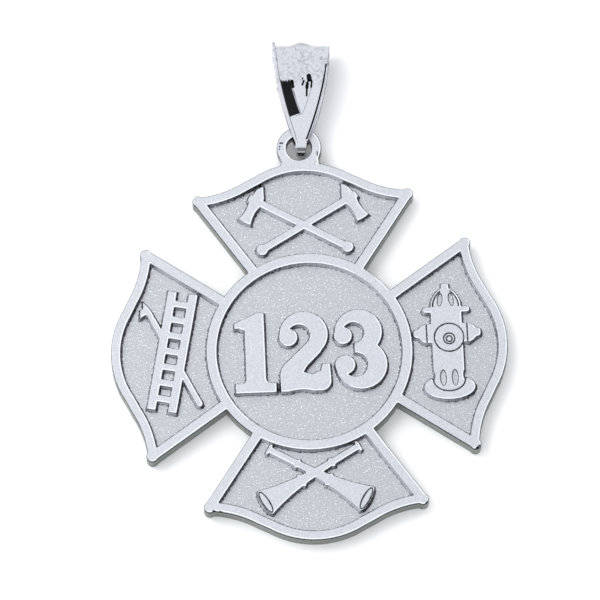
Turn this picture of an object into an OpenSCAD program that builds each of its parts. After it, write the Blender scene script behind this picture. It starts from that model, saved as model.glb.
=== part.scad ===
// Firefighter badge pendant, lying face up: a cast cross of four flared arms round a disc, with
// a loop soldered to its top arm, and a folded bail that is linked through the loop.
// Millimetres, +Z out of the badge's face, +Y towards the bail. The origin is below the middle
// of the whole pendant, on the surface that it lies on.

/* [Cross] */
// Reach of an arm, from the middle of the disc to the crown of its outer curve
arm_reach = 17.55; // [16.8:0.05:20]
// Thickness of the cast plate
plate_t = 1.6; // [1.4:0.1:2.4]
// Outer radius of the ring round the disc
disc_r = 9.12; // [8.4:0.02:9.6]
// Width of the ring round the disc
ring_rim = 0.92; // [0.6:0.02:1.2]
// How far the disc sits below the middle of the four arms
disc_drop = 0.2; // [0:0.05:0.3]
// Width of the rim along an arm's outer curve
crown_rim = 0.84; // [0.5:0.02:1.1]
// Width of the rim along an arm's two sides
side_rim = 0.92; // [0.5:0.02:1.2]
// Angle from an arm's axis to the notch beside it, at the ring
notch_angle = 35.3; // [34:0.1:37]
// Angle from an arm's axis to the run of its side
flare_angle = 34.6; // [32:0.1:36]
// How far the crown of the outer curve stands past the hollows beside it
crown_rise = 3; // [2.6:0.1:3.3]
// Radius of the crown of the outer curve
crown_r = 8.1; // [7:0.1:9]
// Radius of the hollows of the outer curve
hollow_r = 9.5; // [7:0.1:10.5]
// Steepest angle of the outer curve, where crown and hollow meet
join_angle = 27.8; // [25:0.1:30]
// Radius of the nub at each tip
tip_r = 0.52; // [0.3:0.02:0.6]
// How far a nub stands proud of the hollow beside it
tip_proud = 0.14; // [0:0.02:0.3]
// How far a nub is moved out past the corner that it rounds
tip_out = 0.08; // [0:0.02:0.4]
// Depth of the sunk fields
field_depth = 0.5; // [0.3:0.05:0.8]
// Depth of the engraved lines
groove_depth = 0.22; // [0.1:0.02:0.3]
// Width of the engraved lines
groove_w = 0.14; // [0.1:0.02:0.2]

/* [Number] */
// Height of the three digits
digit_h = 7.42; // [6:0.02:7.8]
// Gap between two digits
digit_gap = 0.34; // [0.2:0.02:0.6]

/* [Ladder and pole] */
// Length of the ladder
ladder_l = 11.15; // [9:0.05:11.4]
// Width of the ladder over its rails
ladder_w = 2.68; // [2.3:0.02:3]
// Width of a rail
rail_w = 0.81; // [0.5:0.02:0.95]
// Width of a rung
rung_w = 0.64; // [0.4:0.02:0.8]
// Spacing of the rungs
rung_pitch = 1.48; // [1.2:0.02:1.5]
// Lean of the ladder to the right of upright
ladder_lean = 11.7; // [5:0.1:15]
// Length of the pike pole
pole_l = 11.1; // [9:0.1:11.6]
// Width of the pike pole
pole_w = 0.56; // [0.4:0.02:0.7]
// Lean of the pike pole to the left of upright
pole_lean = 26.1; // [20:0.1:28]

/* [Hydrant] */
// Height of the hydrant over its base and nut
hydrant_h = 10.8; // [9:0.1:11]
// Width of the hydrant's barrel
barrel_w = 2.76; // [2.2:0.02:3.2]
// Width over the two side caps
side_caps_w = 6; // [5.4:0.1:6.4]
// Width of the base flange
base_w = 4.56; // [4:0.02:5]
// Diameter of the front cap
front_cap_d = 2.6; // [2.2:0.02:2.8]

/* [Axes and trumpets] */
// Length of a fire axe
axe_l = 10.3; // [8:0.1:10.6]
// Width of an axe handle
handle_w = 0.7; // [0.5:0.02:0.8]
// Width of the axe's blade at its cutting edge
blade_w = 3; // [2:0.1:3.4]
// Reach of the axe's blade below its handle's middle
blade_h = 2.3; // [1.8:0.1:2.6]
// Reach of the axe's pick above its handle's middle
pick_h = 1.6; // [1.2:0.1:1.8]
// Lean of the axes from the crosswise direction
axe_lean = 30; // [26:0.5:34]
// Length of a speaking trumpet
trumpet_l = 10.2; // [8:0.1:10.6]
// Width of a trumpet's tube at its mouthpiece
tube_w = 0.6; // [0.5:0.02:0.8]
// Width of a trumpet's bell
bell_w = 2.5; // [2:0.1:2.8]
// Lean of the trumpets from the crosswise direction
trumpet_lean = 30; // [26:0.5:34]

/* [Loop] */
// Outer radius of the soldered loop
loop_r = 2; // [1.8:0.05:2.4]
// Radius of the loop's hole
loop_hole_r = 1.14; // [1.05:0.02:1.4]
// Distance of the loop's centre past the crown of the top arm
loop_stand = 1.38; // [1.2:0.02:1.7]
// Distance of the loop to the left of the top arm's middle
loop_side = 0.14; // [0:0.02:0.3]
// Width of the solder joint between the loop and the rim
solder_w = 3.5; // [2.6:0.1:3.8]

/* [Bail] */
// Length of the bail
bail_l = 10.7; // [9.5:0.05:12]
// Width of the bail at its top fold
bail_w = 5.2; // [4:0.02:6]
// Width of the bail's neck, in the loop
neck_w = 1; // [0.8:0.02:1.2]
// Thickness of the bail's wall
bail_wall = 0.42; // [0.3:0.02:0.5]
// Outer radius of the top fold
fold_r = 1.8; // [1.5:0.05:2.3]
// Width of the raised borders on the bail's front
border_w = 0.26; // [0.15:0.01:0.35]
// Height of the raised borders
border_h = 0.09; // [0.04:0.01:0.14]
// Clear space between the bail and the loop's face or back
link_gap = 0.17; // [0.1:0.01:0.25]
// Clear space between the bail's end and the far side of the loop's hole
end_gap = 0.48; // [0.3:0.02:0.6]
// Turn of the bail to the right of the badge's axis
bail_turn = 2.3; // [0:0.1:4]
// Distance of the bail to the right of the loop's middle
bail_side = 0.19; // [0:0.01:0.25]

/* [Hidden] */
$fn = 96;

// Overshoot of a cut past the face that it opens
over = 1;

// How far the ends of a straight run are tucked into the rounds at its ends
tuck = 0.02;

// Heights
field_z = plate_t - field_depth;
loop_t = plate_t - bail_wall - link_gap;
neck_r = (plate_t + link_gap + bail_wall) / 2;

// Outer curve of an arm, in a frame where X runs out along the arm from the disc's middle
notch = disc_r * [cos(notch_angle), sin(notch_angle)];
hollow_reach = arm_reach - crown_rise;
crown_c = [arm_reach - crown_r, 0];
join_dir = [cos(join_angle), sin(join_angle)];
side_dir = [cos(flare_angle), sin(flare_angle)];
crown_end = crown_c + crown_r * join_dir;
hollow_end_x = hollow_reach + hollow_r * (1 - join_dir.x);
hollow_end = [hollow_end_x, crown_end.y + (crown_end.x - hollow_end_x) / tan(join_angle)];
hollow_c = hollow_end + hollow_r * join_dir;
root_x = disc_r / 2;

// Half width of an arm at x, for an outline drawn in from the real one by side_in
function side_at(x, side_in) = notch.y + (x - notch.x) * tan(flare_angle) - side_in / cos(flare_angle);

// Length and middle of a field along its arm
field_l = arm_reach - crown_rim - disc_r;
field_mid = disc_r + field_l / 2;

// Bail, measured along its own axis from the loop's centre
loop_y = arm_reach + loop_stand;
neck_y = end_gap + neck_r - loop_hole_r;
fold_y = neck_y - neck_r + bail_l - fold_r;
bail_top = fold_y + fold_r;
leg_angle = 2 * asin((fold_r - neck_r) / norm([fold_y - neck_y, fold_r - neck_r]));

// The origin is half way between the bottom arm's crown and the highest corner of the bail
pendant_top = loop_y + bail_top * cos(bail_turn) + bail_w / 2 * sin(bail_turn);
cross_y = (arm_reach - pendant_top) / 2;

// A part and its mirror image across the X axis
module both_y() {
    children();
    mirror([0, 1]) children();
}

// A part and its mirror image across the Y axis
module both_x() {
    children();
    mirror([1, 0]) children();
}

// A bar with round ends, centred, lying along X
module round_bar(l, w) {
    square([l - w, w], center = true);
    both_x() translate([(l - w) / 2, 0]) circle(d = w);
}

// An ellipse given by its two half widths
module oval(rx, ry) {
    scale([rx, ry]) circle(1);
}

// An engraved line round a circle of radius r
module groove_ring(r) {
    difference() {
        circle(r + groove_w / 2);
        circle(r - groove_w / 2);
    }
}

// A polygon that is given by its half above the X axis, from left to right
module mirrored_polygon(half) {
    back = [for (k = [len(half) - 1:-1:0]) if (half[k].y > 0) [half[k].x, -half[k].y]];
    polygon(concat(half, back));
}

// One arm, drawn in by crown_in along its outer curve and by side_in along its sides. Its two
// outer corners stay sharp at nub 0, and otherwise end in round nubs of that radius.
module arm_shape(crown_in, side_in, nub) {
    end_x = hollow_reach - crown_in + (nub > 0 ? tip_proud : 0);
    far_x = arm_reach + over;
    wide = arm_reach;
    nub_run = nub / tan((90 - flare_angle) / 2);
    nub_at = [end_x - nub, side_at(end_x, side_in) - nub_run];
    nub_way = [cos((90 + flare_angle) / 2), sin((90 + flare_angle) / 2)];
    corner = [end_x, side_at(end_x, side_in)];
    inward = [side_dir.y, -side_dir.x];
    run_start = crown_end - (crown_in + tuck) * join_dir;
    run_end = hollow_end - (crown_in - tuck) * join_dir;
    crown_x = run_start.x - crown_rim / 2;
    corner_points = nub > 0
        ? [corner - nub_run * side_dir + tuck * inward, corner - [0, nub_run], [far_x, corner.y - nub_run]]
        : [[far_x, side_at(far_x, side_in)]];
    intersection() {
        mirrored_polygon(concat([[root_x, side_at(root_x, side_in)]], corner_points));
        difference() {
            union() {
                mirrored_polygon([[root_x, wide], [end_x, wide], [end_x, hollow_c.y], run_end, run_start]);
                intersection() {
                    translate(crown_c) circle(crown_r - crown_in);
                    translate([crown_x, -wide]) square([crown_r, 2 * wide]);
                }
            }
            both_y() translate(hollow_c) circle(hollow_r + crown_in);
        }
    }
    if (nub > 0)
        both_y() translate(nub_at + tip_out * nub_way) circle(nub);
}

// Outline of the cross without its loop
module cross_outline() {
    translate([0, -disc_drop]) circle(disc_r);
    for (k = [0:3])
        rotate(90 * k) arm_shape(0, 0, tip_r);
}

// The five sunk fields
module fields() {
    translate([0, -disc_drop]) circle(disc_r - ring_rim);
    difference() {
        for (k = [0:3])
            rotate(90 * k) arm_shape(crown_rim, side_rim, 0);
        translate([0, -disc_drop]) circle(disc_r);
    }
}

// Digits are drawn on a grid that is ten units high, and widths are in the same units
DIGIT_W = [4.9, 6.1, 6.28];
digit_unit = digit_h / 10;
gap_units = digit_gap / digit_unit;
row_units = DIGIT_W[0] + DIGIT_W[1] + DIGIT_W[2] + 2 * gap_units;

// A disk given as [x, y, radius]
module disk(c) {
    translate([c[0], c[1]]) circle(c[2]);
}

// One, with a flag at its head and a slab foot
module digit_one() {
    stem_x = [1.3, 3.7];
    foot_h = 1.25;
    bracket = 0.55;
    difference() {
        union() {
            translate([stem_x[0], 0]) square([stem_x[1] - stem_x[0], 9]);
            square([DIGIT_W[0], foot_h]);
            translate([stem_x[0] - bracket, 0]) square([stem_x[1] - stem_x[0] + 2 * bracket, foot_h + bracket]);
            polygon([[stem_x[1], 10], [2.7, 10], [0.1, 8.8], [0.1, 7.9], [stem_x[1], 7.9]]);
        }
        translate([stem_x[0] - bracket, foot_h + bracket]) circle(bracket);
        translate([stem_x[1] + bracket, foot_h + bracket]) circle(bracket);
        disk([0.5, 7.3, 0.8]);
    }
}

// Two, with a ball that curls into its bowl and a foot that turns up at its end
module digit_two() {
    difference() {
        union() {
            disk([3, 7.1, 2.9]);
            polygon([[5.55, 5.85], [4.9, 4.75], [3.4, 3.25], [2.7, 2.2], [0, 2.2], [0.1, 2.7], [0.6, 3.6],
                     [3.1, 6]]);
        }
        disk([2.4, 7, 1.32]);
        polygon([[-1, 6.8], [2.4, 6.8], [3.05, 5.83], [0.6, 3.5], [-1, 3.5]]);
    }
    disk([1.14, 6.8, 1.12]);
    difference() {
        union() {
            polygon([[0, 0], [0, 2.3], [1.1, 2.8], [2.6, 2.5], [4.1, 2.1], [4.8, 2.4], [5.1, 3.4],
                     [6, 3.4], [6.1, 1.6], [4.9, 0]]);
            disk([4.85, 1.23, 1.25]);
        }
        disk([2.5, -4.9, 5.1]);
    }
}

// Three, of two bowls with a ball that curls into each
module digit_three() {
    difference() {
        union() {
            disk([2.97, 7.16, 2.84]);
            disk([3.18, 3.1, 3.1]);
        }
        disk([2.36, 7.09, 1.27]);
        disk([2.46, 3.08, 1.46]);
        translate([-1, 3.11]) square([3.42, 3.65]);
    }
    disk([1.11, 6.76, 1.1]);
    disk([1.24, 3.11, 1.22]);
}

// The plain number 123, with the middle of its row on the disc's middle
module number() {
    scale(digit_unit) translate([-row_units / 2, -5]) {
        digit_one();
        translate([DIGIT_W[0] + gap_units, 0]) digit_two();
        translate([DIGIT_W[0] + DIGIT_W[1] + 2 * gap_units, 0]) digit_three();
    }
}

// Ladder of seven rungs, upright
RUNGS = 7;
module ladder() {
    both_x() translate([(ladder_w - rail_w) / 2, 0]) square([rail_w, ladder_l], center = true);
    for (k = [0:RUNGS - 1])
        translate([0, (k - (RUNGS - 1) / 2) * rung_pitch]) square([ladder_w - rail_w, rung_w], center = true);
}

// Pike pole, upright, with its spike on top and its hook to the left. Rows of the head's
// outline: place across and distance below the tip, both in pole widths.
PIKE_HEAD = [[0.5, 3.2], [0.46, 1.9], [0.05, 0], [-0.41, 1.1], [-0.98, 1.16], [-1.7, 2.4], [-0.5, 2.3],
             [-0.5, 3.2]];
module pike_pole() {
    shaft = pole_l - 3 * pole_w;
    translate([0, (shaft - pole_l) / 2]) rotate(90) round_bar(shaft, pole_w);
    polygon([for (row = PIKE_HEAD) [row[0] * pole_w, pole_l / 2 - row[1] * pole_w]]);
}

// Hydrant, upright, with the middle of its height at the origin
cap_y = 0.073 * hydrant_h;
flange_y = 0.27 * hydrant_h;
dome_y = 0.3 * hydrant_h;
base_y = -0.39 * hydrant_h;
barrel_foot_y = -0.33 * hydrant_h;
foot_h = 0.1 * hydrant_h;
front_cap_at = [0.06 * barrel_w, 0.035 * hydrant_h];
side_cap_l = 0.2 * side_caps_w;
side_cap_h = 0.165 * hydrant_h;

// Rows of a side cap's outline: distance in from its end in cap lengths, half height in cap
// heights
SIDE_CAP = [[0.9, 0.5], [0.6, 0.42], [0.36, 0.25], [0.1, 0.2], [0, 0.1]];

// One side cap with its nut, pointing along +X
module side_cap() {
    edge = [for (row = SIDE_CAP) [side_caps_w / 2 - row[0] * side_cap_l, row[1] * side_cap_h]];
    mirrored_polygon(concat([[0, side_cap_h / 2]], edge));
}

// Dome of the hydrant, an ogive of two arcs, drawn in by w
module dome(w) {
    arc_side = 0.235 * barrel_w;
    arc_r = 0.727 * barrel_w - w;
    intersection() {
        translate([-barrel_w, flange_y]) square([2 * barrel_w, hydrant_h / 2 - flange_y]);
        translate([-arc_side, dome_y]) circle(arc_r);
        translate([arc_side, dome_y]) circle(arc_r);
    }
}

module hydrant() {
    nut = [0.065 * hydrant_h, 0.057 * hydrant_h];
    difference() {
        union() {
            // Barrel
            translate([-barrel_w / 2, barrel_foot_y]) square([barrel_w, flange_y - barrel_foot_y]);
            translate([0, barrel_foot_y]) oval(barrel_w / 2, foot_h);
            // Dome and its operating nut
            dome(0);
            translate([-nut.x / 2, hydrant_h / 2 - nut.y]) square(nut);
            // Bonnet flange
            translate([0, flange_y + 0.005 * hydrant_h]) round_bar(1.53 * barrel_w, 0.052 * hydrant_h);
            // Side caps
            both_x() translate([0, cap_y]) side_cap();
            // Base flange
            translate([0, base_y]) oval(base_w / 2, 0.108 * hydrant_h);
        }
        // Slots of the dome and of the barrel's foot
        both_x() translate([0.18 * barrel_w, 0.362 * hydrant_h]) rotate(8) oval(0.093 * barrel_w, 0.23 * barrel_w);
        both_x() translate([0.19 * barrel_w, -0.31 * hydrant_h]) oval(0.112 * barrel_w, 0.28 * barrel_w);
        both_x() translate([0.51 * barrel_w, -0.29 * hydrant_h]) oval(0.055 * barrel_w, 0.16 * barrel_w);
    }
}

// Lines engraved in the hydrant
module hydrant_lines() {
    rib_in = 0.05 * barrel_w;
    ring_w = 0.53 * barrel_w;
    translate(front_cap_at) groove_ring(front_cap_d / 2);
    translate(front_cap_at - [0, 0.04 * front_cap_d]) groove_ring(0.19 * front_cap_d);
    translate(front_cap_at - [0, 0.05 * front_cap_d]) groove_ring(0.1 * front_cap_d);
    both_x() translate([side_caps_w / 2 - side_cap_l, cap_y]) square([groove_w, 0.96 * side_cap_h], center = true);
    // Ribs along the dome's sides
    difference() {
        dome(rib_in);
        dome(rib_in + groove_w);
        translate([0, flange_y]) square([0.3 * barrel_w, hydrant_h], center = true);
        square([2 * barrel_w, 2 * dome_y], center = true);
    }
    // Joint of the barrel and its base
    translate([0, barrel_foot_y]) difference() {
        oval(ring_w, foot_h);
        oval(ring_w - groove_w, foot_h - groove_w);
        translate([-barrel_w, 0]) square([2 * barrel_w, hydrant_h]);
    }
}

// Fire axe along X, its head at +X with the blade towards -Y and the pick towards +Y
module fire_axe() {
    eye_w = 0.37 * blade_w;
    square([axe_l, handle_w], center = true);
    translate([(handle_w - axe_l) / 2, 0]) circle(0.76 * handle_w);
    translate([axe_l / 2 - 0.25 * blade_w, 0]) {
        // Eye of the head
        square([eye_w, 1.5 * handle_w], center = true);
        // Blade, with hollow flanks and a curved edge
        difference() {
            intersection() {
                translate([-blade_w / 2, -blade_h]) square([blade_w, blade_h]);
                translate([0, 0.4 * blade_h]) circle(1.4 * blade_h);
            }
            both_x() translate([1.15 * blade_w, -0.5 * blade_h]) circle(blade_w);
        }
        // Pick, curved like a beak
        difference() {
            polygon([[-eye_w / 2, 0], [eye_w / 2, 0], [0.45 * eye_w, 0.6 * pick_h], [0.1 * eye_w, pick_h],
                     [-eye_w / 2, 0.3 * pick_h]]);
            translate([-1.14 * eye_w, 0.84 * pick_h]) circle(0.9 * eye_w);
        }
    }
}

// Speaking trumpet along X, its bell at +X: the tube's half width grows as a power of the run
TRUMPET_STEPS = 14;
bell_lip = 0.17 * bell_w;
function tube_half(s) = tube_w / 2 + (bell_w - tube_w) / 2 * pow(s, 3.4);
module speaking_trumpet() {
    run = trumpet_l - bell_lip;
    mouthpiece = [1.75 * tube_w, 0.5 * tube_w];
    edge = [for (k = [0:TRUMPET_STEPS]) let (s = k / TRUMPET_STEPS) [s * run, tube_half(s)]];
    translate([-trumpet_l / 2, 0]) {
        mirrored_polygon(edge);
        translate([run, 0]) oval(bell_lip, bell_w / 2);
        translate([mouthpiece.y / 2, 0]) rotate(90) round_bar(mouthpiece.x, mouthpiece.y);
        // Rings round the tube
        for (s = [0.3, 0.62])
            translate([s * run, 0]) rotate(90) round_bar(2 * tube_half(s) + 0.5 * tube_w, 0.6 * tube_w);
    }
}

// Line engraved round the mouth of the bell
module trumpet_lines() {
    margin = [0.14 * bell_lip, 0.05 * bell_w];
    translate([trumpet_l / 2 - bell_lip, 0]) difference() {
        oval(bell_lip - margin.x, bell_w / 2 - margin.y);
        oval(bell_lip - margin.x - groove_w, bell_w / 2 - margin.y - groove_w);
    }
}

// Places of the ornaments from the middle of the arms, and how far each piece of a crossed pair
// is shifted along itself past the crossing
pair_shift = 0.04 * axe_l;
axe_cross_y = field_mid - 0.17 * field_l;
trumpet_cross_y = 0.2 * field_l - field_mid;
ladder_at = [0.105 * field_l - field_mid, 0.03 * field_l];
pole_at = [0.095 * field_l - field_mid, 0.005 * field_l];
hydrant_at = [field_mid - 0.09 * field_l, 0.026 * field_l];
number_at = [0.01 * disc_r, -disc_drop];

// A piece of a trumpet at both places of the crossed pair
module trumpet_pair() {
    translate([0, trumpet_cross_y]) both_x() rotate(-trumpet_lean) translate([pair_shift, 0]) children();
}

// The raised ornaments of the five fields
module ornaments() {
    translate(number_at) number();
    translate([0, axe_cross_y]) both_x() rotate(axe_lean) translate([pair_shift, 0]) fire_axe();
    trumpet_pair() speaking_trumpet();
    translate(ladder_at) rotate(-ladder_lean) ladder();
    difference() {
        translate(pole_at) rotate(pole_lean) pike_pole();
        translate(ladder_at) rotate(-ladder_lean) square([ladder_w - rail_w, ladder_l], center = true);
    }
    translate(hydrant_at) hydrant();
}

// The engraved lines on the ornaments
module engraving() {
    translate(hydrant_at) hydrant_lines();
    trumpet_pair() trumpet_lines();
}

// Outline of the loop with its solder joint, which ends half way across the rim
module loop_outline() {
    joint_l = loop_stand + crown_rim / 2;
    circle(loop_r);
    translate([-solder_w / 2, -joint_l]) square([solder_w, joint_l]);
}

// Cast cross with its ornaments, and the loop that is soldered to it
module badge_cross() {
    color("#c9ced8")
        translate([0, cross_y, 0])
            difference() {
                union() {
                    linear_extrude(plate_t) cross_outline();
                    translate([-loop_side, loop_y, plate_t - loop_t]) linear_extrude(loop_t) loop_outline();
                }
                translate([0, 0, field_z]) linear_extrude(field_depth + over)
                    difference() {
                        fields();
                        ornaments();
                    }
                translate([0, 0, plate_t - groove_depth]) linear_extrude(groove_depth + over) engraving();
                translate([-loop_side, loop_y, -over]) linear_extrude(plate_t + 2 * over) circle(loop_hole_r);
            }
}

// Side of the bail, in a frame where X runs up the bail and Y away from the floor: two rounds
// that stand on the floor and the leg that touches both from above, all drawn in by w
module bail_side_shape(w) {
    neck_c = [neck_y, neck_r];
    fold_c = [fold_y, fold_r];
    up = [-sin(leg_angle), cos(leg_angle)];
    translate(neck_c) circle(neck_r - w);
    translate(fold_c) circle(fold_r - w);
    polygon([[neck_y, w], [fold_y, w], fold_c, fold_c + (fold_r - w) * up, neck_c + (neck_r - w) * up, neck_c]);
}

// Front of the bail, drawn in by w, in a frame where X runs up the bail: its half width grows
// from the neck as a power of a sine, and its end in the loop is half an ellipse
TAPER_STEPS = 16;
END_STEPS = 8;
taper_y = neck_y - neck_w / 8;
function taper_half(s) = neck_w / 2 + (bail_w - neck_w) / 2 * pow(sin(90 * s), 0.9);
module bail_front_shape(w) {
    end_l = 0.75 * neck_w;
    end_y = neck_y - neck_r + 0.88 * end_l;
    end = [for (k = [0:END_STEPS]) let (a = 90 * k / END_STEPS) [end_y - end_l * cos(a), (neck_w / 2 - w) * sin(a)]];
    edge = [for (k = [0:TAPER_STEPS]) let (s = k / TAPER_STEPS) [taper_y + s * (bail_top - taper_y), taper_half(s) - w]];
    mirrored_polygon(concat(end, edge, [[bail_top + over, bail_w / 2 - w]]));
}

// A side shape as a slab across the whole width of the bail
module across() {
    translate([-bail_w, 0, 0]) rotate([90, 0, 90]) linear_extrude(2 * bail_w) children();
}

// Folded bail with raised borders down its front
module bail() {
    color("#dfe2e8")
        translate([bail_side - loop_side, cross_y + loop_y, 0]) rotate(-bail_turn)
            difference() {
                intersection() {
                    across() difference() {
                        bail_side_shape(0);
                        bail_side_shape(bail_wall);
                    }
                    linear_extrude(2 * fold_r + over) rotate(90) bail_front_shape(0);
                }
                intersection() {
                    across() difference() {
                        translate([neck_y, neck_r]) square([bail_l + over, 2 * fold_r]);
                        bail_side_shape(border_h);
                    }
                    linear_extrude(2 * fold_r + over) rotate(90) bail_front_shape(border_w);
                }
            }
}

badge_cross();
bail();
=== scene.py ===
"""Firefighter badge pendant: a cast silver cross with its loop, and the folded bail that carries it.

The cross is one closed skin that is worked out from the CAD node's own outlines: its walls are drafted and
its edges rounded, as on a casting. The bail is a strip of sheet, carried round a closed path. Lengths are
millimetres until a mesh is made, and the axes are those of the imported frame.
"""

import logging
import math
from dataclasses import dataclass, field
from enum import Enum

import bpy
import numpy as np
from mathutils import Matrix, Vector
from mathutils.geometry import delaunay_2d_cdt


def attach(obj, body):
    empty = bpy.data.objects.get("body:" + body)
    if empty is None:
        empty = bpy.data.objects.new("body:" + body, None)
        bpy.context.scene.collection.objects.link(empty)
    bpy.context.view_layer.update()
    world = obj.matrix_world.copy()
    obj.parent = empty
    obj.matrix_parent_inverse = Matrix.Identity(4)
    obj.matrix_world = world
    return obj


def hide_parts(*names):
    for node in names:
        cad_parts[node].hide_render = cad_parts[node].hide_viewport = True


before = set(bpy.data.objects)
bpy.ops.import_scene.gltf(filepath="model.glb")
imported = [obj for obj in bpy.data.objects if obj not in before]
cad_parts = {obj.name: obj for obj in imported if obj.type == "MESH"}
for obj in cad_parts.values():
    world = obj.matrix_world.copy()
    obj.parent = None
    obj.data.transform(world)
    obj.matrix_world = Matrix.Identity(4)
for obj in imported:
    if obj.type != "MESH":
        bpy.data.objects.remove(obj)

LOG = logging.getLogger("badge")
MM = 0.001

Array = np.ndarray


def linear(code: str) -> tuple[float, float, float, float]:
    """Colour of an sRGB hex code in linear light.

    Args:
        code: Hex code such as "#c9ced8".

    Returns:
        Red, green and blue in linear light, and an alpha of one.
    """
    parts = [int(code[i:i + 2], 16) / 255 for i in (1, 3, 5)]
    light = [c / 12.92 if c <= 0.04045 else ((c + 0.055) / 1.055) ** 2.4 for c in parts]
    return (light[0], light[1], light[2], 1.0)


def add_object(name: str, data: bpy.types.ID) -> bpy.types.Object:
    """Stand an object at the origin and link it to the scene.

    Args:
        name: Name of the object.
        data: Its mesh, light or camera.

    Returns:
        The new object.
    """
    made = bpy.data.objects.new(name, data)
    bpy.context.scene.collection.objects.link(made)
    return made


def add_node(tree: bpy.types.NodeTree, kind: str, settings: dict | None = None,
             links: dict | None = None) -> bpy.types.Node:
    """Add one node to a tree.

    Args:
        tree: Node tree that gets the node.
        kind: Blender's name of the node type.
        settings: Values by name: a property of the node, or else an input by its name or number.
        links: Output sockets by the name or number of the input that each feeds.

    Returns:
        The new node.
    """
    node = tree.nodes.new(kind)
    for name, value in (settings or {}).items():
        if isinstance(name, str) and hasattr(node, name):
            setattr(node, name, value)
        else:
            node.inputs[name].default_value = value
    for name, socket in (links or {}).items():
        tree.links.new(socket, node.inputs[name])
    return node


# Finishes


class Metal(Enum):
    """Which part of the pendant a finish is for."""

    SATIN = "satin rhodium top"
    BLASTED = "sandblasted field"
    WALL = "cast relief wall"
    EDGE = "cast outer edge"
    # Painted highlight, on the level metal beside edges that face the lower right
    PAINTED_HIGHLIGHT = "painted highlight on rhodium edge"
    SLOT = "engraved slot"
    POLISHED = "polished rhodium strip"


# Finishes of the cross, and the number of each in the list of its materials
ON_CROSS = (Metal.SATIN, Metal.BLASTED, Metal.WALL, Metal.EDGE, Metal.PAINTED_HIGHLIGHT, Metal.SLOT)
SATIN, BLASTED, WALL, EDGE, PAINTED_HIGHLIGHT, SLOT = range(len(ON_CROSS))


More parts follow.
